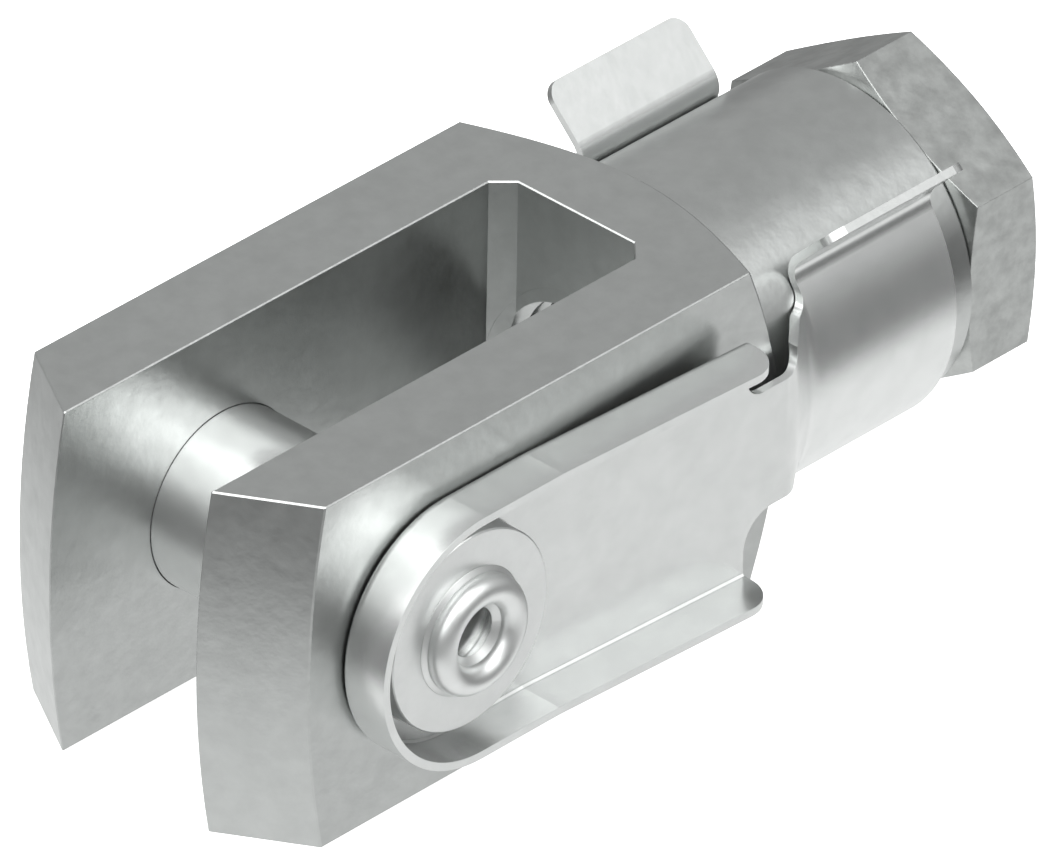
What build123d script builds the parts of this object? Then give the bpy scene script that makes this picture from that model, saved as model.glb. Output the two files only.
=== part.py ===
from build123d import *
import os
from math import cos, radians, sin, sqrt, tan

# A fork head for the end of a threaded rod, in millimetres.
# The origin is where the pin's axis crosses the middle of the slot.
# +X runs along the rod from the pin to the lock nut, the clip lies on the -Y jaw, and +Z is up.

# Driving dimensions
BLOCK_SIDE = 20.0
SLOT_WIDTH = 10.05
PIN_DIAMETER = 10.0
THREAD_DIAMETER = 10.0
SLOT_END_X = 20.0
NECK_END_X = 40.0
NUT_THICKNESS = 5.0
SHEET = 0.45

# The series gives the neck's diameter and the nut's width across flats as shares of the block's side
NECK_SHARE = 0.9
NUT_SHARE = 0.85

# Clearances
PIN_CLEARANCE = 0.04
SHEET_CLEARANCE = 0.05
SPIGOT_CLEARANCE = 0.02

# How far a cutting shape runs past what it cuts
OVERCUT = 1.0

# Fork block
FRONT_X = -12.09
FRONT_CENTRE_X = 40.0
FRONT_SLOPE = 30.0
SHOULDER_X = 25.0
SHOULDER_SLOPE = 30.0
SLOT_CORNER = 1.04
EDGE_BREAK = 0.07

# Neck and nut, whose turned faces end just inside its flats
NECK_CHAMFER = 0.33
NUT_FACE_INSET = 0.1
NUT_CORNER_DROP = 0.47
THREAD_CHAMFER = 0.4

# Pin, from its head to its far end
PIN_PROUD = 0.5
PIN_CHAMFER = 0.5
SPIGOT_RADIUS = 3.05
HEAD_TUBE_RADIUS = 0.78
HEAD_RING_RADIUS = 2.5
HEAD_RING_HEIGHT = 0.46
HEAD_BASE_RADIUS = 3.52
HEAD_SKIRT_HEIGHT = 0.2
HEAD_THROAT_RADIUS = 1.35
HEAD_THROAT_HEIGHT = 0.18
HEAD_BORE_RADIUS = 2.42
HEAD_BORE_SHOULDER = 0.5
HEAD_BORE_DEPTH = 2.24

# Washer under the head
WASHER_RADIUS = 5.5
WASHER_THICKNESS = 1.6

# Clip plate and its flange
ROUND_END_RADIUS = 7.11
FLANGE_HEIGHT = 3.0
FLANGE_BEND_X = 5.5
FLANGE_SLOPE = -0.047
FLANGE_END_X = 21.45
FLANGE_CORNER = 2.0
SHEET_BEND = 0.58
TRAY_CORNER = 0.12

# Tongue and ramp between the plate and the collar, with lengths that run on from the flanges' ends
TONGUE_TOP = 2.9
TONGUE_BOTTOM = -4.12
TOP_NOTCH_RADIUS = 1.2
NOTCH_LENGTH = 4.05
BOTTOM_NOTCH_RADIUS = 2.0
RAMP_DELAY = 3.0
RAMP_LENGTH = 3.6
RAMP_EASE = 0.3
RAMP_EASE_CUTS = 4
RAMP_TOP = 4.4
RAMP_BOTTOM = -4.4
RAMP_FILLET = 0.8

# Collar round the neck
COLLAR_END_X = 38.0
COLLAR_OPENING_ANGLE = 36.0
LIP_BEND_RADIUS = 1.0
LIP_BEND_SWEEP = 81.0
LIP_LENGTH = 3.3
LIP_CORNER = 1.0

# Sizes that follow from the ones above
HALF = BLOCK_SIDE / 2
PIN_RADIUS = PIN_DIAMETER / 2
THREAD_RADIUS = THREAD_DIAMETER / 2
NECK_RADIUS = NECK_SHARE * HALF
NUT_ACROSS_FLATS = NUT_SHARE * BLOCK_SIDE
PLATE_INNER_Y = -(HALF + SHEET_CLEARANCE)
PLATE_OUTER_Y = PLATE_INNER_Y - SHEET
FLANGE_TOP_Y = PLATE_INNER_Y - FLANGE_HEIGHT
WASHER_TOP_Y = PLATE_OUTER_Y - WASHER_THICKNESS
COLLAR_INNER = NECK_RADIUS + SHEET_CLEARANCE
COLLAR_OUTER = COLLAR_INNER + SHEET
NOTCH_END_X = FLANGE_END_X + NOTCH_LENGTH
RAMP_START_X = FLANGE_END_X + RAMP_DELAY
COLLAR_START_X = RAMP_START_X + RAMP_LENGTH

TOUCH = 0.01
X_LINE = Axis((0, 0, 0), (1, 0, 0))
Y_LINE = Axis((0, 0, 0), (0, 1, 0))


def along_x(radius, start, end):
    """A cylinder on the rod's axis."""
    return Plane.YZ.offset(start) * extrude(Circle(radius), end - start)


def along_y(radius, start, end):
    """A cylinder on the pin's axis."""
    return Plane.ZX.offset(start) * extrude(Circle(radius), end - start)


def side_prism(outline, near, far):
    """An outline drawn in X and Z, pushed along Y from near to far."""
    face = Face(outline)
    return extrude(Pos(0, near, 0) * face, far - near, dir=(0, 1, 0))


def front_envelope():
    """A wide disc whose rim, chamfered on both sides, gives the jaws their rounded and sloping ends."""
    rim = FRONT_CENTRE_X - FRONT_X
    inner = SLOT_WIDTH / 2
    beyond = HALF + OVERCUT
    thin = rim - (beyond - inner) * tan(radians(FRONT_SLOPE))
    corners = [(0, -beyond), (thin, -beyond), (rim, -inner), (rim, inner), (thin, beyond), (0, beyond)]
    profile = Polyline(*[(FRONT_CENTRE_X - r, y) for r, y in corners], close=True)
    centre = Axis((FRONT_CENTRE_X, 0, 0), (0, 1, 0))
    return revolve(make_face(profile), centre)


def shoulder_envelope():
    """The lathe-turned shape whose cone trims the rear corners of the block."""
    reach = HALF * sqrt(2) + OVERCUT
    drop = (reach - NECK_RADIUS) * tan(radians(SHOULDER_SLOPE))
    front = FRONT_X - OVERCUT
    corners = [
        (front, 0),
        (front, reach),
        (SHOULDER_X - drop, reach),
        (SHOULDER_X, NECK_RADIUS),
        (SHOULDER_X, 0),
    ]
    return revolve(make_face(Polyline(*corners, close=True)), X_LINE)


def fork_head():
    long_box = Pos(FRONT_CENTRE_X / 2, 0, 0) * Box(2 * FRONT_CENTRE_X, BLOCK_SIDE, BLOCK_SIDE)
    block = long_box & front_envelope() & shoulder_envelope()
    wall = SLOT_WIDTH / 2
    slot_outline = Polyline(
        (FRONT_X - OVERCUT, -wall),
        (SLOT_END_X - SLOT_CORNER, -wall),
        (SLOT_END_X, -wall + SLOT_CORNER),
        (SLOT_END_X, wall - SLOT_CORNER),
        (SLOT_END_X - SLOT_CORNER, wall),
        (FRONT_X - OVERCUT, wall),
        close=True,
    )
    slot = Pos(0, 0, -BLOCK_SIDE) * extrude(make_face(slot_outline), 2 * BLOCK_SIDE)
    block = block - slot
    block = chamfer(outer_edges(block), EDGE_BREAK)
    neck = along_x(NECK_RADIUS, SLOT_END_X + SLOT_CORNER, NECK_END_X)
    neck = chamfer(neck.edges().sort_by(Axis.X)[-1], NECK_CHAMFER)
    hole = along_x(THREAD_RADIUS, SLOT_END_X - 2 * SLOT_CORNER, NECK_END_X + OVERCUT)
    bore = along_y(PIN_RADIUS + PIN_CLEARANCE, -BLOCK_SIDE, BLOCK_SIDE)
    fork = block + neck - hole - bore
    mouth = thread_circles(fork).sort_by(Axis.X)[-1]
    return chamfer(mouth, THREAD_CHAMFER)


def outer_edges(block):
    """Every edge of the block except the turned circle and the ones inside the slot's corners."""
    inside = SLOT_WIDTH / 2 + TOUCH

    def in_slot(edge):
        centre = edge.center()
        upright = edge.geom_type == GeomType.LINE and abs(edge.tangent_at(0.5).Z) > 0.9
        return upright and abs(centre.Y) < inside and centre.X > 0

    def turned(edge):
        return edge.center().X > SHOULDER_X - TOUCH

    return [edge for edge in block.edges() if not in_slot(edge) and not turned(edge)]


def jam_nut():
    """A thin hexagon nut with its corners turned off on both faces, one corner pointing up."""
    end = NECK_END_X + NUT_THICKNESS
    corner_radius = NUT_ACROSS_FLATS / 2 / cos(radians(30))
    hexagon = RegularPolygon(corner_radius, 6, rotation=90)
    prism = Plane.YZ.offset(NECK_END_X) * extrude(hexagon, NUT_THICKNESS)
    reach = corner_radius + OVERCUT
    face_radius = NUT_ACROSS_FLATS / 2 - NUT_FACE_INSET
    slope = NUT_CORNER_DROP / (corner_radius - face_radius)
    drop = (reach - face_radius) * slope
    corners = [
        (NECK_END_X, 0),
        (NECK_END_X, face_radius),
        (NECK_END_X + drop, reach),
        (end - drop, reach),
        (end, face_radius),
        (end, 0),
    ]
    turned = revolve(make_face(Polyline(*corners, close=True)), X_LINE)
    nut = (prism & turned) - along_x(THREAD_RADIUS, NECK_END_X - OVERCUT, end + OVERCUT)
    return chamfer(thread_circles(nut), THREAD_CHAMFER)


def thread_circles(solid):
    """The circular edges of a tapped hole."""
    circles = solid.edges().filter_by(GeomType.CIRCLE)
    return circles.filter_by(lambda edge: edge.radius < THREAD_RADIUS + TOUCH)


def clevis_pin():
    """The pin with a hollow spigot whose end is rolled over into a ring."""
    far_end = HALF + PIN_PROUD
    ring_y = WASHER_TOP_Y - HEAD_RING_HEIGHT
    crown_y = ring_y - HEAD_TUBE_RADIUS
    skirt_y = WASHER_TOP_Y - HEAD_SKIRT_HEIGHT
    throat_y = WASHER_TOP_Y - HEAD_THROAT_HEIGHT
    shoulder_y = WASHER_TOP_Y + HEAD_BORE_SHOULDER
    ring_inner = HEAD_RING_RADIUS - HEAD_TUBE_RADIUS
    waist = HEAD_RING_RADIUS + sqrt(HEAD_TUBE_RADIUS**2 - (skirt_y - ring_y) ** 2)
    floor = crown_y + HEAD_BORE_DEPTH
    profile = [
        Polyline(
            (0, floor),
            (HEAD_BORE_RADIUS, floor),
            (HEAD_BORE_RADIUS, shoulder_y),
            (HEAD_THROAT_RADIUS, throat_y),
            (ring_inner, ring_y),
        ),
        ThreePointArc((ring_inner, ring_y), (HEAD_RING_RADIUS, crown_y), (waist, skirt_y)),
        Polyline(
            (waist, skirt_y),
            (HEAD_BASE_RADIUS, WASHER_TOP_Y),
            (SPIGOT_RADIUS, WASHER_TOP_Y),
            (SPIGOT_RADIUS, PLATE_INNER_Y),
            (PIN_RADIUS, PLATE_INNER_Y),
            (PIN_RADIUS, far_end - PIN_CHAMFER),
            (PIN_RADIUS - PIN_CHAMFER, far_end),
            (0, far_end),
            (0, floor),
        ),
    ]
    return revolve(make_face(profile), Y_LINE)


def rivet_washer():
    disc = along_y(WASHER_RADIUS, WASHER_TOP_Y, PLATE_OUTER_Y)
    disc = chamfer(disc.edges().sort_by(Axis.Y)[0], EDGE_BREAK)
    return disc - along_y(SPIGOT_RADIUS + SPIGOT_CLEARANCE, WASHER_TOP_Y - OVERCUT, PLATE_OUTER_Y + OVERCUT)


def line(start, end):
    """A straight edge between two points given as X and Z."""
    return Edge.make_line((start[0], 0, start[1]), (end[0], 0, end[1]))


def arc(centre, radius, start, end):
    """An arc in the XZ plane; its angles run from +X towards +Z."""
    turns = [radians(angle) for angle in (start, (start + end) / 2, end)]
    points = [(centre[0] + radius * cos(turn), 0, centre[1] + radius * sin(turn)) for turn in turns]
    return Edge.make_three_point_arc(*points)


def tray_outline(inset, end):
    """The clip plate seen from the side: a round end and two straight edges, both falling to the rear."""
    radius = ROUND_END_RADIUS - inset
    fall = FLANGE_SLOPE * (end - FLANGE_BEND_X)
    return Wire(
        [
            arc((0, 0), radius, 90, 270),
            line((0, -radius), (FLANGE_BEND_X, -radius)),
            line((FLANGE_BEND_X, -radius), (end, -radius + fall)),
            line((end, -radius + fall), (end, radius + fall)),
            line((end, radius + fall), (FLANGE_BEND_X, radius)),
            line((FLANGE_BEND_X, radius), (0, radius)),
        ]
    )


def clip_tray():
    """The plate on the jaw with its edges folded outwards along the top, the round end and the bottom."""
    tray = side_prism(tray_outline(0, FLANGE_END_X), FLANGE_TOP_Y, PLATE_INNER_Y)
    tray = fillet(folded_edges(tray, PLATE_INNER_Y, FLANGE_END_X), SHEET_BEND)
    inside_end = FLANGE_END_X + OVERCUT
    inside = side_prism(tray_outline(SHEET, inside_end), FLANGE_TOP_Y - OVERCUT, PLATE_OUTER_Y)
    inside = chamfer(folded_edges(inside, PLATE_OUTER_Y, inside_end), TRAY_CORNER)
    corner_x = FLANGE_END_X - FLANGE_CORNER
    corner_y = FLANGE_TOP_Y + FLANGE_CORNER
    cut = FLANGE_CORNER + OVERCUT
    square = Pos(corner_x + cut / 2, corner_y - cut / 2, 0) * Box(cut, cut, BLOCK_SIDE)
    round_corner = Pos(corner_x, corner_y, 0) * Cylinder(FLANGE_CORNER, BLOCK_SIDE)
    return tray - inside - (square - round_corner)


def folded_edges(tray, floor_y, end):
    """The edges of a tray's floor, without the straight one at its open end."""
    floor = [edge for edge in tray.edges() if abs(edge.center().Y - floor_y) < TOUCH]
    return [edge for edge in floor if edge.center().X < end - TOUCH]


def tongue_outline():
    """The side view of the tongue: notched behind the flanges, then widening into the collar."""
    left = FLANGE_END_X - OVERCUT
    beyond = COLLAR_START_X + OVERCUT
    top = TONGUE_TOP + TOP_NOTCH_RADIUS
    top_left = FLANGE_END_X + TOP_NOTCH_RADIUS
    top_right = NOTCH_END_X - TOP_NOTCH_RADIUS
    bottom = TONGUE_BOTTOM - BOTTOM_NOTCH_RADIUS
    bottom_left = FLANGE_END_X + BOTTOM_NOTCH_RADIUS
    fillet_x = COLLAR_START_X - RAMP_FILLET
    upper = RAMP_TOP + RAMP_FILLET
    lower = RAMP_BOTTOM - RAMP_FILLET
    return Wire(
        [
            line((left, top), (FLANGE_END_X, top)),
            arc((top_left, top), TOP_NOTCH_RADIUS, 180, 270),
            line((top_left, TONGUE_TOP), (top_right, TONGUE_TOP)),
            arc((top_right, top), TOP_NOTCH_RADIUS, 270, 360),
            line((NOTCH_END_X, top), (fillet_x, RAMP_TOP)),
            arc((fillet_x, upper), RAMP_FILLET, 270, 360),
            line((COLLAR_START_X, upper), (beyond, upper)),
            line((beyond, upper), (beyond, lower)),
            line((beyond, lower), (COLLAR_START_X, lower)),
            arc((fillet_x, lower), RAMP_FILLET, 0, 90),
            line((fillet_x, RAMP_BOTTOM), (NOTCH_END_X, TONGUE_BOTTOM)),
            line((NOTCH_END_X, TONGUE_BOTTOM), (bottom_left, TONGUE_BOTTOM)),
            arc((bottom_left, bottom), BOTTOM_NOTCH_RADIUS, 90, 180),
            line((FLANGE_END_X, bottom), (left, bottom)),
            line((left, bottom), (left, top)),
        ]
    )


def ramp_share(s):
    """How far the ramp has come from the plate to the collar: it bends in, runs straight and bends back."""
    steep = 1 / (1 - RAMP_EASE)
    if s < RAMP_EASE:
        return steep * s**2 / (2 * RAMP_EASE)
    if s > 1 - RAMP_EASE:
        return 1 - steep * (1 - s) ** 2 / (2 * RAMP_EASE)
    return steep * (s - RAMP_EASE / 2)


def ramp_slope(s):
    """The rate of ramp_share."""
    return min(s, RAMP_EASE, 1 - s) / (RAMP_EASE * (1 - RAMP_EASE))


def ramp_section(s, low, high):
    """A cut through the ramp, s of the way from the plate to the collar, between two heights."""
    share = ramp_share(s)
    x = RAMP_START_X + s * RAMP_LENGTH

    def points(z):
        outer_ring = sqrt(COLLAR_OUTER**2 - z**2)
        inner_ring = sqrt(COLLAR_INNER**2 - z**2)
        outer = (1 - share) * PLATE_OUTER_Y - share * outer_ring
        thickness = (1 - share) * SHEET + share * (outer_ring - inner_ring)
        slope = ramp_slope(s) * (-PLATE_OUTER_Y - outer_ring) / RAMP_LENGTH
        inner = outer + thickness * sqrt(1 + slope**2)
        return (x, outer, z), (x, inner, z)

    (outer_low, inner_low), (outer_mid, inner_mid), (outer_high, inner_high) = [
        points(z) for z in (low, (low + high) / 2, high)
    ]
    if s == 0:
        outer_edge = Edge.make_line(outer_low, outer_high)
        inner_edge = Edge.make_line(inner_high, inner_low)
    else:
        outer_edge = Edge.make_three_point_arc(outer_low, outer_mid, outer_high)
        inner_edge = Edge.make_three_point_arc(inner_high, inner_mid, inner_low)
    high_end = Edge.make_line(outer_high, inner_high)
    low_end = Edge.make_line(inner_low, outer_low)
    return Wire([outer_edge, high_end, inner_edge, low_end])


def clip_tongue():
    """The sheet from the plate to the collar, cut to its side view."""
    low = RAMP_BOTTOM - RAMP_FILLET - OVERCUT
    high = RAMP_TOP + RAMP_FILLET + OVERCUT / 2
    left = FLANGE_END_X - OVERCUT
    flat = Wire(
        [
            line((left, low), (RAMP_START_X, low)),
            line((RAMP_START_X, low), (RAMP_START_X, high)),
            line((RAMP_START_X, high), (left, high)),
            line((left, high), (left, low)),
        ]
    )
    plate = side_prism(flat, PLATE_OUTER_Y, PLATE_INNER_Y)
    eased = [RAMP_EASE * i / RAMP_EASE_CUTS for i in range(RAMP_EASE_CUTS + 1)]
    stretches = [eased, [RAMP_EASE, 1 - RAMP_EASE], [1 - s for s in reversed(eased)]]
    lofts = [Solid.make_loft([ramp_section(s, low, high) for s in steps]) for steps in stretches]
    ramp = Part() + lofts
    cutter = side_prism(tongue_outline(), -BLOCK_SIDE, 0)
    return (plate & cutter) + (ramp & cutter)


def clip_collar():
    """The open ring round the neck, whose ends turn back and flare outwards as lips."""
    opening = COLLAR_OPENING_ANGLE
    bend_distance = COLLAR_OUTER + LIP_BEND_RADIUS
    flare = opening + 90 - LIP_BEND_SWEEP

    def ring(radius, side):
        return (side * radius * cos(radians(opening)), radius * sin(radians(opening)))

    def bend(radius, side, turn):
        angle = radians(180 + opening - turn)
        y = bend_distance * cos(radians(opening)) + radius * cos(angle)
        z = bend_distance * sin(radians(opening)) + radius * sin(angle)
        return (side * y, z)

    def tip(radius, side):
        y, z = bend(radius, side, LIP_BEND_SWEEP)
        return (y + side * LIP_LENGTH * cos(radians(flare)), z + LIP_LENGTH * sin(radians(flare)))

    edges = [
        ThreePointArc(ring(COLLAR_OUTER, -1), (0, -COLLAR_OUTER), ring(COLLAR_OUTER, 1)),
        ThreePointArc(ring(COLLAR_INNER, -1), (0, -COLLAR_INNER), ring(COLLAR_INNER, 1)),
    ]
    for side in (-1, 1):
        for radius in (LIP_BEND_RADIUS, LIP_BEND_RADIUS + SHEET):
            turns = [bend(radius, side, turn) for turn in (0, LIP_BEND_SWEEP / 2, LIP_BEND_SWEEP)]
            edges.append(ThreePointArc(*turns))
            edges.append(Line(turns[-1], tip(radius, side)))
        edges.append(Line(tip(LIP_BEND_RADIUS, side), tip(LIP_BEND_RADIUS + SHEET, side)))
    collar = Plane.YZ.offset(COLLAR_START_X) * extrude(make_face(edges), COLLAR_END_X - COLLAR_START_X)
    lip_z = tip(LIP_BEND_RADIUS, 1)[1]
    corners = [edge for edge in collar.edges() if edge.length < 2 * SHEET and edge.center().Z > lip_z]
    return fillet(corners, LIP_CORNER)


def spring_clip():
    hole = along_y(SPIGOT_RADIUS + SPIGOT_CLEARANCE, PLATE_OUTER_Y - OVERCUT, PLATE_INNER_Y + OVERCUT)
    return clip_tray() - hole + clip_tongue() + clip_collar()


os.makedirs("parts", exist_ok=True)
for make in (fork_head, jam_nut, clevis_pin, rivet_washer, spring_clip):
    export_step(make(), f"parts/{make.__name__}.step")
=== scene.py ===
from math import cos, pi, radians, sin, tan
import bmesh
import bpy
from mathutils import Matrix, Vector


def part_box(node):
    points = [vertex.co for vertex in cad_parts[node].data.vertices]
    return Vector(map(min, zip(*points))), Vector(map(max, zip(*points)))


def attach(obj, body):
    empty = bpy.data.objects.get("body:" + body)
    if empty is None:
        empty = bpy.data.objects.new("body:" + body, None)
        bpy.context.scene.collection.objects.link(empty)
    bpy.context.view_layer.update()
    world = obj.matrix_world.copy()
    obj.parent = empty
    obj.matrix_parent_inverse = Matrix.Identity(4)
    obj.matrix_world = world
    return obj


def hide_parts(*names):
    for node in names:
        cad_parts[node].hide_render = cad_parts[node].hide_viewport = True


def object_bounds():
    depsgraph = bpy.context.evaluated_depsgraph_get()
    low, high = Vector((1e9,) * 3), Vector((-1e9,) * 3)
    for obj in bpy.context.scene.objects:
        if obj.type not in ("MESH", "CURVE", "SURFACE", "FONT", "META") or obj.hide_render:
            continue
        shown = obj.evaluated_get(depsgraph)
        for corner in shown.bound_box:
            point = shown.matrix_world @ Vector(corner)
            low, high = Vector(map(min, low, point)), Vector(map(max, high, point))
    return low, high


# A fork head with its spring-clip pin and lock nut, dressed for the photograph.
# Lengths are in metres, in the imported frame: +X along the rod, the clip on the -Y jaw, +Z up.
# Angles are in degrees.

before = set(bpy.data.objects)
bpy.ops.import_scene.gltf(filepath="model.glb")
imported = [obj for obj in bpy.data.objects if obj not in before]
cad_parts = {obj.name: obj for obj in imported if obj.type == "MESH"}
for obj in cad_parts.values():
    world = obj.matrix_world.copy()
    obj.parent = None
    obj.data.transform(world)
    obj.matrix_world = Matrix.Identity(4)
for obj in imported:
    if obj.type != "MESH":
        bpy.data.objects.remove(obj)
cad_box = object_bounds()
MM = 0.001

# Camera: an almost parallel view from the front left. The lens and the sensor are in millimetres.
CAMERA_AZIMUTH = 43.15
CAMERA_ELEVATION = 32.868
CAMERA_ROLL = 1.028
CAMERA_DISTANCE = 1.125
CAMERA_LENS = 769.9
CAMERA_SENSOR = 36.0
CAMERA_RANGE = 10.0
CAMERA_AIM = Vector((14.879 * MM, -1.804 * MM, 0))

# The studio round the object. Brightness is relative to paper white, and each fade runs between
# two elevations.
TABLE_LIGHT = 1.0
TABLE_FADE = (-37, -17)
HORIZON_LIGHT = 0.18
CEILING_LIGHT = 0.5
CEILING_RISE = (-2, 20)
LAMP_TINT = (0.99, 1.0, 0.995)
# Soft round lamps in the sky, each full inside one angle from its middle and gone beyond another.
# The azimuth is counted from +X.
KEY_LAMP = {"azimuth": -179, "elevation": 59, "full": 29, "gone": 50, "strength": 2.5}
SIDE_LAMP = {"azimuth": -76, "elevation": 48, "full": 20, "gone": 32, "strength": 1.75}
REAR_LAMP = {"azimuth": 60, "elevation": -8, "full": 5, "gone": 38, "strength": 0.12}

# The floor: half its side, its paper's colour and its own glow
FLOOR_REACH = 3.0
FLOOR_PAPER = (0.9, 0.9, 0.9, 1)
FLOOR_GLOW = 0.8

# The zinc finish. Clouds tint it, finer smears change its gloss, and a faint skin makes it uneven.
CLOUD_DETAIL = 5.0
CLOUD_ROUGHNESS = 0.62
SMEAR_FINENESS = 1.7
SMEAR_DETAIL = 3.0
SMEAR_ROUGHNESS = 0.5
SKIN_PATCH = 1.5
SKIN_DETAIL = 2.0
SKIN_ROUGHNESS = 0.5
SKIN_HEIGHT = 0.01 * MM
# The middle range of a noise, where nearly all its values lie
NOISE_RANGE = (0.25, 0.75)
# Painted shade in narrow corners and along contacts: how far it reaches, and how open a corner is where it is
# full and where it ends
SHADE_REACH = 0.15 * MM
SHADE_OPENNESS = (0.6, 0.97)
SHADE_SAMPLES = 8
EDGE_SAMPLES = 4

# Along Y, where the pin's rolled head ends and its shank begins, and how much duller the head is
PIN_ROLLED = (-12.2 * MM, -11.0 * MM)
PIN_ROLLED_DULLING = 0.16

# The M10 thread in the neck and the nut. Its root is sunk a little into the wall, and its ridge stops
# short of the chamfered mouths. THREAD_STEPS is the number of cuts to a turn.
THREAD_PITCH = 1.5 * MM
THREAD_RADIUS = 5.0 * MM
THREAD_DEPTH = 0.812 * MM
THREAD_CREST = 0.375 * MM
THREAD_FLANK = 30.0
THREAD_SINK = 0.03 * MM
THREAD_STEPS = 64
THREAD_START = 0.0
THREAD_MOUTH = 0.4 * MM
# How far the blocks that trim a ridge reach past it, along X and to each side
TRIM_LENGTH = 3 * THREAD_PITCH
TRIM_SIDE = 2 * THREAD_RADIUS

# The slot's end, where the thread breaks out, and how far the ridge's cut face stands proud of it
SLOT_END = 20.0 * MM
SLOT_WALL = 5.025 * MM
SLOT_CORNER = 1.04 * MM
SLOT_PROUD = 0.002 * MM

# The clip's plate stands off the jaw: it leans out and runs level, from the pin's washer to the ramp.
# The three slopes are out from the jaw, up, and back towards the pin, to each unit of length.
# The lean grows over a short bend and dies away along the ramp, before the collar.
CLIP_OUT = 0.0497
CLIP_UP = 0.047
CLIP_DRAW = 0.0531
CLIP_FLAT_END = 4.5 * MM
CLIP_LEAN_START = 6.5 * MM
CLIP_LEAN_END = 24.45 * MM
CLIP_COLLAR = 28.05 * MM
CLIP_BEND_CUTS = 4
CLIP_RAMP_CUTS = 8
CUT_TOLERANCE = 1e-7


def material(name):
    """A new material with an empty node tree, and its Principled shader."""
    made = bpy.data.materials.new(name)
    made.use_nodes = True
    nodes = made.node_tree.nodes
    nodes.clear()
    output = nodes.new("ShaderNodeOutputMaterial")
    shader = nodes.new("ShaderNodeBsdfPrincipled")
    made.node_tree.links.new(shader.outputs["BSDF"], output.inputs["Surface"])
    return made, shader


def noise(tree, position, patch, detail, roughness):
    """Noise with the given number of patches to a millimetre."""
    texture = tree.nodes.new("ShaderNodeTexNoise")
    texture.inputs["Scale"].default_value = patch / MM
    texture.inputs["Detail"].default_value = detail
    texture.inputs["Roughness"].default_value = roughness
    tree.links.new(position, texture.inputs["Vector"])
    return texture.outputs["Fac"]


def fade(tree, value, ends, levels):
    """A soft step in value from the first end to the second, between two levels."""
    step = tree.nodes.new("ShaderNodeMapRange")
    step.interpolation_type = "SMOOTHSTEP"
    step.inputs["From Min"].default_value = ends[0]
    step.inputs["From Max"].default_value = ends[1]
    step.inputs["To Min"].default_value = levels[0]
    step.inputs["To Max"].default_value = levels[1]
    tree.links.new(value, step.inputs["Value"])
    return step.outputs["Result"]


def combine(tree, operation, a, b):
    """Two values added or multiplied."""
    node = tree.nodes.new("ShaderNodeMath")
    node.operation = operation
    tree.links.new(a, node.inputs[0])
    tree.links.new(b, node.inputs[1])
    return node.outputs[0]


def painted_corner_shade(tree, colour, shade_share):
    """The colour with painted shade, darkened down to the given share in narrow corners and along contacts.
    """
    corner = tree.nodes.new("ShaderNodeAmbientOcclusion")
    corner.samples = SHADE_SAMPLES
    corner.inputs["Distance"].default_value = SHADE_REACH
    share = fade(tree, corner.outputs["AO"], SHADE_OPENNESS, (shade_share, 1.0))
    darkened = tree.nodes.new("ShaderNodeVectorMath")
    darkened.operation = "SCALE"
    tree.links.new(colour, darkened.inputs[0])
    tree.links.new(share, darkened.inputs["Scale"])
    return darkened.outputs[0]


def clouded(tree, place, colour, mottle, patch):
    """The colour in cloudy patches, up to the share called mottle darker and lighter."""
    clouds = noise(tree, place, patch, CLOUD_DETAIL, CLOUD_ROUGHNESS)
    blend = tree.nodes.new("ShaderNodeMix")
    blend.data_type = "RGBA"
    blend.inputs["A"].default_value = (*(c * (1 - mottle) for c in colour), 1)
    blend.inputs["B"].default_value = (*(c * (1 + mottle) for c in colour), 1)
    tree.links.new(fade(tree, clouds, NOISE_RANGE, (0.0, 1.0)), blend.inputs["Factor"])
    return blend.outputs["Result"]


def uneven(tree, place, wave, edge):
    """The surface's normal with a faint bump, and with edges worn to a radius in millimetres."""
    worn = tree.nodes.new("ShaderNodeBevel")
    worn.samples = EDGE_SAMPLES
    worn.inputs["Radius"].default_value = edge * MM
    bump = tree.nodes.new("ShaderNodeBump")
    bump.inputs["Strength"].default_value = wave
    bump.inputs["Distance"].default_value = SKIN_HEIGHT
    skin = noise(tree, place, SKIN_PATCH, SKIN_DETAIL, SKIN_ROUGHNESS)
    tree.links.new(skin, bump.inputs["Height"])
    tree.links.new(worn.outputs["Normal"], bump.inputs["Normal"])
    return bump.outputs["Normal"]


def zinc(name, colour, mottle, dullness, patch, wave, edge, shade_share, metal=1.0):
    """Zinc-plated steel: cloudy patches in colour and gloss, a faintly uneven surface, worn edges, and
    painted shade in corners and along contacts.

    Dullness is the least and the greatest roughness, patch the number of clouds to a millimetre,
    and wave the strength of the unevenness.
    """
    made, shader = material(name)
    tree = made.node_tree
    place = tree.nodes.new("ShaderNodeTexCoord").outputs["Object"]
    tint = clouded(tree, place, colour, mottle, patch)
    # Painted shade: the base colour is darkened by ambient occlusion in corners and where parts touch.
    tree.links.new(painted_corner_shade(tree, tint, shade_share), shader.inputs["Base Color"])
    smears = noise(tree, place, patch * SMEAR_FINENESS, SMEAR_DETAIL, SMEAR_ROUGHNESS)
    tree.links.new(fade(tree, smears, NOISE_RANGE, dullness), shader.inputs["Roughness"])
    tree.links.new(uneven(tree, place, wave, edge), shader.inputs["Normal"])
    shader.inputs["Metallic"].default_value = metal
    return made


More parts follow.
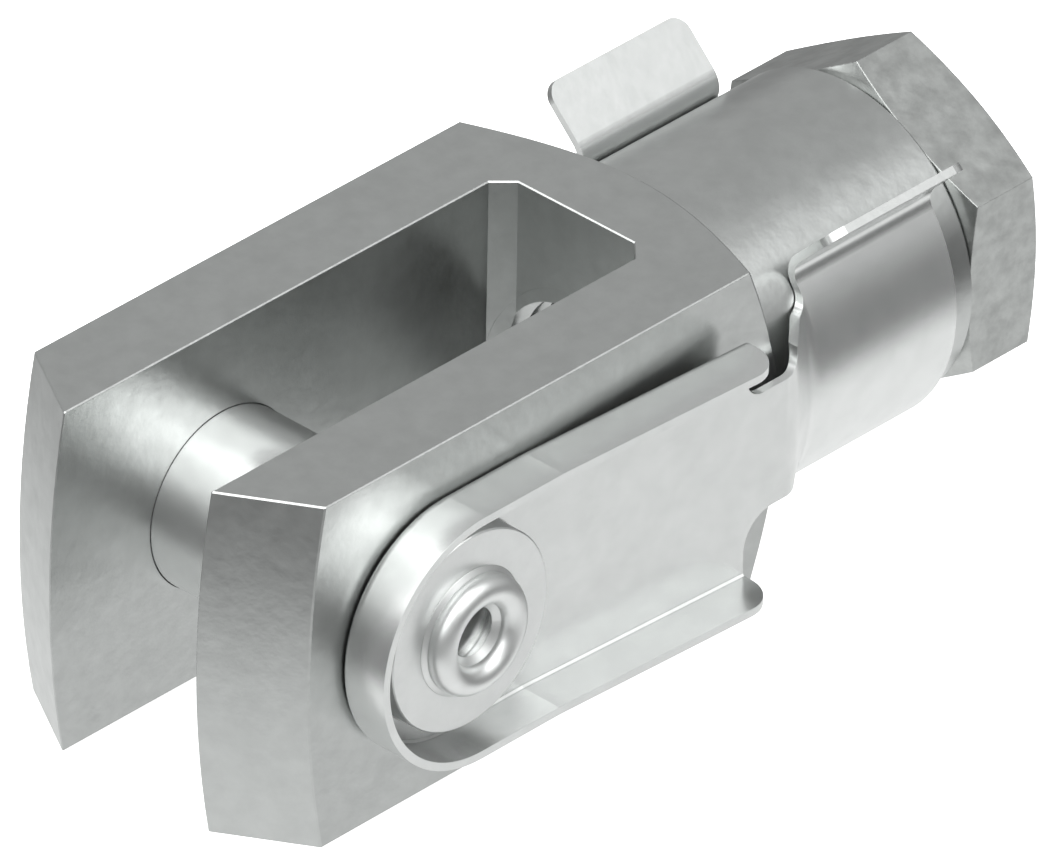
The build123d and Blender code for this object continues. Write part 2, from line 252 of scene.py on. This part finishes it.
def dull_rolled_head(made):
    """Makes the pin's material duller where its head is rolled over the washer."""
    tree = made.node_tree
    roughness = tree.nodes["Principled BSDF"].inputs["Roughness"]
    smooth = roughness.links[0].from_socket
    split = tree.nodes.new("ShaderNodeSeparateXYZ")
    tree.links.new(tree.nodes.new("ShaderNodeTexCoord").outputs["Object"], split.inputs[0])
    rolled = fade(tree, split.outputs["Y"], PIN_ROLLED, (PIN_ROLLED_DULLING, 0))
    tree.links.new(combine(tree, "ADD", smooth, rolled), roughness)


def dress(node, made):
    """Gives a CAD node its material."""
    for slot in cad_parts[node].material_slots:
        slot.link = "OBJECT"
        slot.material = made


fork_zinc = zinc(
    "fork_zinc",
    colour=(0.545, 0.557, 0.55),
    mottle=0.05,
    dullness=(0.278, 0.325),
    patch=0.6,
    wave=1.2,
    edge=0.03,
    shade_share=0.85,
)
nut_zinc = zinc(
    "nut_zinc",
    colour=(0.51, 0.522, 0.513),
    mottle=0.16,
    dullness=(0.278, 0.35),
    patch=0.7,
    wave=1.2,
    edge=0.08,
    shade_share=0.85,
)
pin_zinc = zinc(
    "pin_zinc",
    colour=(0.7, 0.71, 0.705),
    mottle=0.03,
    dullness=(0.19, 0.24),
    patch=0.7,
    wave=0.4,
    edge=0.04,
    shade_share=0.8,
    metal=0.9,
)
dull_rolled_head(pin_zinc)
washer_zinc = zinc(
    "washer_zinc",
    colour=(0.71, 0.72, 0.715),
    mottle=0.03,
    dullness=(0.278, 0.31),
    patch=0.8,
    wave=0.4,
    edge=0.04,
    shade_share=0.6,
    metal=0.9,
)
clip_zinc = zinc(
    "clip_zinc",
    colour=(0.7, 0.71, 0.705),
    mottle=0.03,
    dullness=(0.22, 0.26),
    patch=0.5,
    wave=0.3,
    edge=0.015,
    shade_share=0.4,
    metal=0.92,
)
dress("fork_head", fork_zinc)
dress("jam_nut", nut_zinc)
dress("clevis_pin", pin_zinc)
dress("rivet_washer", washer_zinc)


def add_piece(name, mesh, made, body):
    """A new object that rides on a body and takes the given finish."""
    piece = bpy.data.objects.new(name, mesh)
    bpy.context.scene.collection.objects.link(piece)
    mesh.materials.clear()
    mesh.materials.append(made)
    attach(piece, body)
    return piece


def finished(working, name):
    """The working mesh as a mesh that an object can hold."""
    made = bpy.data.meshes.new(name)
    working.to_mesh(made)
    working.free()
    return made


def steps(start, end, count):
    """Evenly spaced places from start to end, both included."""
    return [start + (end - start) * i / count for i in range(count + 1)]


def clip_reach(x):
    """How far along its lean the clip has come at x, and how fast that grows there."""
    middle = (CLIP_FLAT_END + CLIP_LEAN_START) / 2
    full = CLIP_LEAN_END - middle
    if x <= CLIP_FLAT_END:
        return 0.0, 0.0
    if x < CLIP_LEAN_START:
        run = CLIP_LEAN_START - CLIP_FLAT_END
        return (x - CLIP_FLAT_END) ** 2 / run / 2, (x - CLIP_FLAT_END) / run
    if x <= CLIP_LEAN_END:
        return x - middle, 1.0
    if x < CLIP_COLLAR:
        run = CLIP_COLLAR - CLIP_LEAN_END
        t = (x - CLIP_LEAN_END) / run
        return full * (1 - t * t * (3 - 2 * t)), -full * 6 * t * (1 - t) / run
    return 0.0, 0.0


def standing_clip():
    """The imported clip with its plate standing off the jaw, and the surface's own normals turned with it."""
    lean = Vector((-CLIP_DRAW, -CLIP_OUT, CLIP_UP))
    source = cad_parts["spring_clip"].data
    mesh = bmesh.new()
    mesh.from_mesh(source)
    normal = mesh.loops.layers.float_vector.new("surface_normal")
    for face, polygon in zip(mesh.faces, source.polygons):
        for loop, index in zip(face.loops, polygon.loop_indices):
            loop[normal] = source.corner_normals[index].vector
    bend = steps(CLIP_FLAT_END, CLIP_LEAN_START, CLIP_BEND_CUTS)
    ramp = steps(CLIP_LEAN_END, CLIP_COLLAR, CLIP_RAMP_CUTS)
    for x in bend + ramp:
        whole = mesh.verts[:] + mesh.edges[:] + mesh.faces[:]
        bmesh.ops.bisect_plane(mesh, geom=whole, plane_co=(x, 0, 0), plane_no=(1, 0, 0), dist=CUT_TOLERANCE)
    for face in mesh.faces:
        face.smooth = True
        for loop in face.loops:
            slope = clip_reach(loop.vert.co.x)[1]
            turned = loop[normal].copy()
            turned.x -= slope * lean.dot(turned) / (1 + slope * lean.x)
            loop[normal] = turned.normalized()
    for vertex in mesh.verts:
        vertex.co += lean * clip_reach(vertex.co.x)[0]
    made = finished(mesh, "clip_sheet")
    normals = [tuple(item.vector) for item in made.attributes["surface_normal"].data]
    made.attributes.remove(made.attributes["surface_normal"])
    made.normals_split_custom_set(normals)
    piece = add_piece("clip_sheet", made, clip_zinc, "clip")
    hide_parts("spring_clip")


def thread_ridge(start, end):
    """The mesh of one helical ridge of the internal thread, from start to end along X."""
    half_crest = THREAD_CREST / 2
    half_root = half_crest + (THREAD_DEPTH + THREAD_SINK) * tan(radians(THREAD_FLANK))
    top = THREAD_RADIUS - THREAD_DEPTH
    root = THREAD_RADIUS + THREAD_SINK
    profile = [(-half_root, root), (-half_crest, top), (half_crest, top), (half_root, root)]
    corners = len(profile)
    mesh = bmesh.new()
    rings = []
    for i in range(round((end - start) / THREAD_PITCH * THREAD_STEPS) + 1):
        x = start + i / THREAD_STEPS * THREAD_PITCH
        angle = 2 * pi * x / THREAD_PITCH + radians(THREAD_START)
        rings.append([mesh.verts.new((x + dx, r * cos(angle), r * sin(angle))) for dx, r in profile])
    for before, after in zip(rings, rings[1:]):
        for k in range(corners):
            j = (k + 1) % corners
            mesh.faces.new((before[k], before[j], after[j], after[k]))
    mesh.faces.new(rings[0])
    mesh.faces.new(reversed(rings[-1]))
    bmesh.ops.recalc_face_normals(mesh, faces=mesh.faces)
    return finished(mesh, "ridge")


def prism(outline, half_height):
    """The mesh of an upright prism over an outline in X and Y."""
    mesh = bmesh.new()
    base = mesh.faces.new([mesh.verts.new((x, y, -half_height)) for x, y in outline])
    raised = bmesh.ops.extrude_face_region(mesh, geom=[base])["geom"]
    lifted = [item for item in raised if isinstance(item, bmesh.types.BMVert)]
    bmesh.ops.translate(mesh, verts=lifted, vec=(0, 0, 2 * half_height))
    bmesh.ops.recalc_face_normals(mesh, faces=mesh.faces)
    return finished(mesh, "prism")


def carve(name, mesh, *tools):
    """The mesh with each tool mesh cut away."""
    helpers = []
    piece = bpy.data.objects.new(name, mesh)
    bpy.context.scene.collection.objects.link(piece)
    for tool in tools:
        helper = bpy.data.objects.new("cutter", tool)
        bpy.context.scene.collection.objects.link(helper)
        helpers.append(helper)
        modifier = piece.modifiers.new("cut", "BOOLEAN")
        modifier.operation = "DIFFERENCE"
        modifier.solver = "EXACT"
        modifier.object = helper
    bpy.context.view_layer.update()
    evaluated = piece.evaluated_get(bpy.context.evaluated_depsgraph_get())
    carved = bpy.data.meshes.new_from_object(evaluated)
    for helper in (piece, *helpers):
        bpy.data.objects.remove(helper)
    carved.name = name
    return carved


def wide_block(start, end):
    """A prism wider than the thread, from start to end along X."""
    outline = [(start, -TRIM_SIDE), (end, -TRIM_SIDE), (end, TRIM_SIDE), (start, TRIM_SIDE)]
    return prism(outline, TRIM_SIDE)


def slot_block():
    """A prism that fills the end of the slot, with its two slanted corners."""
    end = SLOT_END - SLOT_PROUD
    flat = SLOT_WALL - SLOT_CORNER
    outline = [
        (end - TRIM_LENGTH, -SLOT_WALL),
        (end - SLOT_CORNER, -SLOT_WALL),
        (end, -flat),
        (end, flat),
        (end - SLOT_CORNER, SLOT_WALL),
        (end - TRIM_LENGTH, SLOT_WALL),
    ]
    return prism(outline, TRIM_SIDE)


def threads():
    """The ridges in the neck and the nut, on one helix."""
    nut_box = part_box("jam_nut")
    neck_end = nut_box[0].x
    nut_end = nut_box[1].x
    neck = thread_ridge(SLOT_END - THREAD_PITCH * 2, neck_end)
    mouth = wide_block(neck_end - THREAD_MOUTH, neck_end + TRIM_LENGTH)
    neck = carve("neck_thread", neck, slot_block(), mouth)
    add_piece("neck_thread", neck, fork_zinc, "fork")
    nut = thread_ridge(neck_end - THREAD_PITCH, nut_end + THREAD_PITCH)
    before = wide_block(neck_end - TRIM_LENGTH, neck_end + THREAD_MOUTH)
    after = wide_block(nut_end - THREAD_MOUTH, nut_end + TRIM_LENGTH)
    nut = carve("nut_thread", nut, before, after)
    add_piece("nut_thread", nut, nut_zinc, "nut")


def floor():
    """A plain pale floor under the block."""
    mesh = bpy.data.meshes.new("floor")
    corners = [(-1, -1), (1, -1), (1, 1), (-1, 1)]
    points = [(x * FLOOR_REACH, y * FLOOR_REACH, cad_box[0].z) for x, y in corners]
    mesh.from_pydata(points, [], [(0, 1, 2, 3)])
    made = bpy.data.objects.new("floor", mesh)
    bpy.context.scene.collection.objects.link(made)
    paper, shader = material("floor_white")
    shader.inputs["Base Color"].default_value = FLOOR_PAPER
    shader.inputs["Roughness"].default_value = 1.0
    shader.inputs["Specular IOR Level"].default_value = 0.0
    shader.inputs["Emission Color"].default_value = (1, 1, 1, 1)
    shader.inputs["Emission Strength"].default_value = FLOOR_GLOW
    mesh.materials.append(paper)
    made.visible_glossy = False


def direction_to(azimuth, elevation):
    """The unit vector towards a place in the sky."""
    flat = cos(radians(elevation))
    return flat * cos(radians(azimuth)), flat * sin(radians(azimuth)), sin(radians(elevation))


def lamp_light(tree, direction, lamp):
    """The light of one soft lamp, by direction."""
    dot = tree.nodes.new("ShaderNodeVectorMath")
    dot.operation = "DOT_PRODUCT"
    dot.inputs[1].default_value = direction_to(lamp["azimuth"], lamp["elevation"])
    tree.links.new(direction, dot.inputs[0])
    rim = (cos(radians(lamp["gone"])), cos(radians(lamp["full"])))
    return fade(tree, dot.outputs["Value"], rim, (0, lamp["strength"]))


def studio():
    """A pale table below, a dim horizon, a soft ceiling and three soft lamps."""
    world = bpy.data.worlds.new("studio")
    bpy.context.scene.world = world
    world.use_nodes = True
    tree = world.node_tree
    background = tree.nodes["Background"]
    direction = tree.nodes.new("ShaderNodeTexCoord").outputs["Generated"]
    split = tree.nodes.new("ShaderNodeSeparateXYZ")
    tree.links.new(direction, split.inputs[0])
    height = split.outputs["Z"]
    table_edge = [sin(radians(angle)) for angle in TABLE_FADE]
    ceiling_edge = [sin(radians(angle)) for angle in CEILING_RISE]
    table = fade(tree, height, table_edge, (TABLE_LIGHT, 0))
    above_table = fade(tree, height, table_edge, (0, 1))
    room = fade(tree, height, ceiling_edge, (HORIZON_LIGHT, CEILING_LIGHT))
    total = combine(tree, "ADD", table, combine(tree, "MULTIPLY", above_table, room))
    for lamp in (KEY_LAMP, SIDE_LAMP, REAR_LAMP):
        total = combine(tree, "ADD", total, lamp_light(tree, direction, lamp))
    tree.links.new(total, background.inputs["Strength"])
    background.inputs["Color"].default_value = (*LAMP_TINT, 1)


def camera():
    """The photograph's view."""
    back = Vector(direction_to(CAMERA_AZIMUTH + 180, CAMERA_ELEVATION))
    side = Vector((0, 0, 1)).cross(back).normalized()
    up = back.cross(side)
    turn = Matrix((side, up, back)).transposed() @ Matrix.Rotation(radians(CAMERA_ROLL), 3, "Z")
    data = bpy.data.cameras.new("camera")
    data.lens = CAMERA_LENS
    data.sensor_width = CAMERA_SENSOR
    data.clip_end = CAMERA_RANGE
    made = bpy.data.objects.new("camera", data)
    made.matrix_world = Matrix.Translation(CAMERA_AIM + back * CAMERA_DISTANCE) @ turn.to_4x4()
    bpy.context.scene.collection.objects.link(made)
    bpy.context.scene.camera = made


standing_clip()
threads()
floor()
studio()
camera()
bpy.context.scene.view_settings.view_transform = "Standard"
